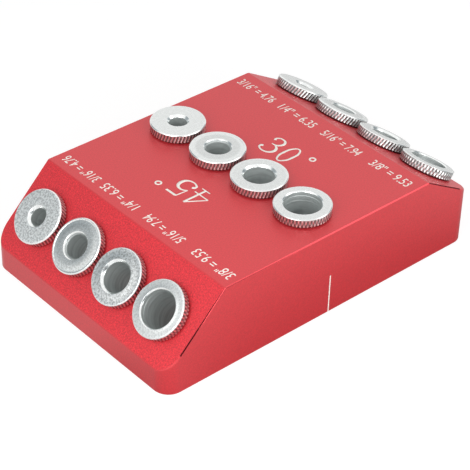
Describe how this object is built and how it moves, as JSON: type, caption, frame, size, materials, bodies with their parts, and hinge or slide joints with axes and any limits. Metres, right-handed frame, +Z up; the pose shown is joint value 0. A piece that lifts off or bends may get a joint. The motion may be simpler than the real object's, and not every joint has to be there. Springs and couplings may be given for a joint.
{
  "type": "pocket hole jig",
  "caption": "Metal drilling jig block with rows of knurled steel guide bushings at 45, 90 and 30 degrees for common drill sizes.",
  "frame": {"origin": "middle of the block's flat base, halfway along its length and width, on the base face", "axes": "+X along the block from the 45 degree end to the 30 degree end; +Y across it towards the smallest drill size; +Z up from the base"},
  "size_m": [0.1054, 0.0706, 0.0279],
  "materials": {
    "red_anodised": "red anodised over a fine bead-blasted surface, satin",
    "plated_steel": "turned steel with bright zinc plating, knurled rim"
  },
  "bodies": {
    "block": {"block": "red_anodised"},
    "bushing_45_3_16": {"bushing_45_3_16": "plated_steel"},
    "bushing_45_1_4": {"bushing_45_1_4": "plated_steel"},
    "bushing_45_5_16": {"bushing_45_5_16": "plated_steel"},
    "bushing_45_3_8": {"bushing_45_3_8": "plated_steel"},
    "bushing_90_3_16": {"bushing_90_3_16": "plated_steel"},
    "bushing_90_1_4": {"bushing_90_1_4": "plated_steel"},
    "bushing_90_5_16": {"bushing_90_5_16": "plated_steel"},
    "bushing_90_3_8": {"bushing_90_3_8": "plated_steel"},
    "bushing_30_3_16": {"bushing_30_3_16": "plated_steel"},
    "bushing_30_1_4": {"bushing_30_1_4": "plated_steel"},
    "bushing_30_5_16": {"bushing_30_5_16": "plated_steel"},
    "bushing_30_3_8": {"bushing_30_3_8": "plated_steel"}
  },
  "joints": [
    {"name": "lift_45_3_16", "type": "slide", "parent": "block", "child": "bushing_45_3_16", "axis": [-0.7071, 0, 0.7071], "range_m": [0, 0.02]},
    {"name": "lift_45_1_4", "type": "slide", "parent": "block", "child": "bushing_45_1_4", "axis": [-0.7071, 0, 0.7071], "range_m": [0, 0.02]},
    {"name": "lift_45_5_16", "type": "slide", "parent": "block", "child": "bushing_45_5_16", "axis": [-0.7071, 0, 0.7071], "range_m": [0, 0.02]},
    {"name": "lift_45_3_8", "type": "slide", "parent": "block", "child": "bushing_45_3_8", "axis": [-0.7071, 0, 0.7071], "range_m": [0, 0.02]},
    {"name": "lift_90_3_16", "type": "slide", "parent": "block", "child": "bushing_90_3_16", "axis": [0, 0, 1], "range_m": [0, 0.02]},
    {"name": "lift_90_1_4", "type": "slide", "parent": "block", "child": "bushing_90_1_4", "axis": [0, 0, 1], "range_m": [0, 0.02]},
    {"name": "lift_90_5_16", "type": "slide", "parent": "block", "child": "bushing_90_5_16", "axis": [0, 0, 1], "range_m": [0, 0.02]},
    {"name": "lift_90_3_8", "type": "slide", "parent": "block", "child": "bushing_90_3_8", "axis": [0, 0, 1], "range_m": [0, 0.02]},
    {"name": "lift_30_3_16", "type": "slide", "parent": "block", "child": "bushing_30_3_16", "axis": [0.5, 0, 0.866], "range_m": [0, 0.02]},
    {"name": "lift_30_1_4", "type": "slide", "parent": "block", "child": "bushing_30_1_4", "axis": [0.5, 0, 0.866], "range_m": [0, 0.02]},
    {"name": "lift_30_5_16", "type": "slide", "parent": "block", "child": "bushing_30_5_16", "axis": [0.5, 0, 0.866], "range_m": [0, 0.02]},
    {"name": "lift_30_3_8", "type": "slide", "parent": "block", "child": "bushing_30_3_8", "axis": [0.5, 0, 0.866], "range_m": [0, 0.02]}
  ]
}
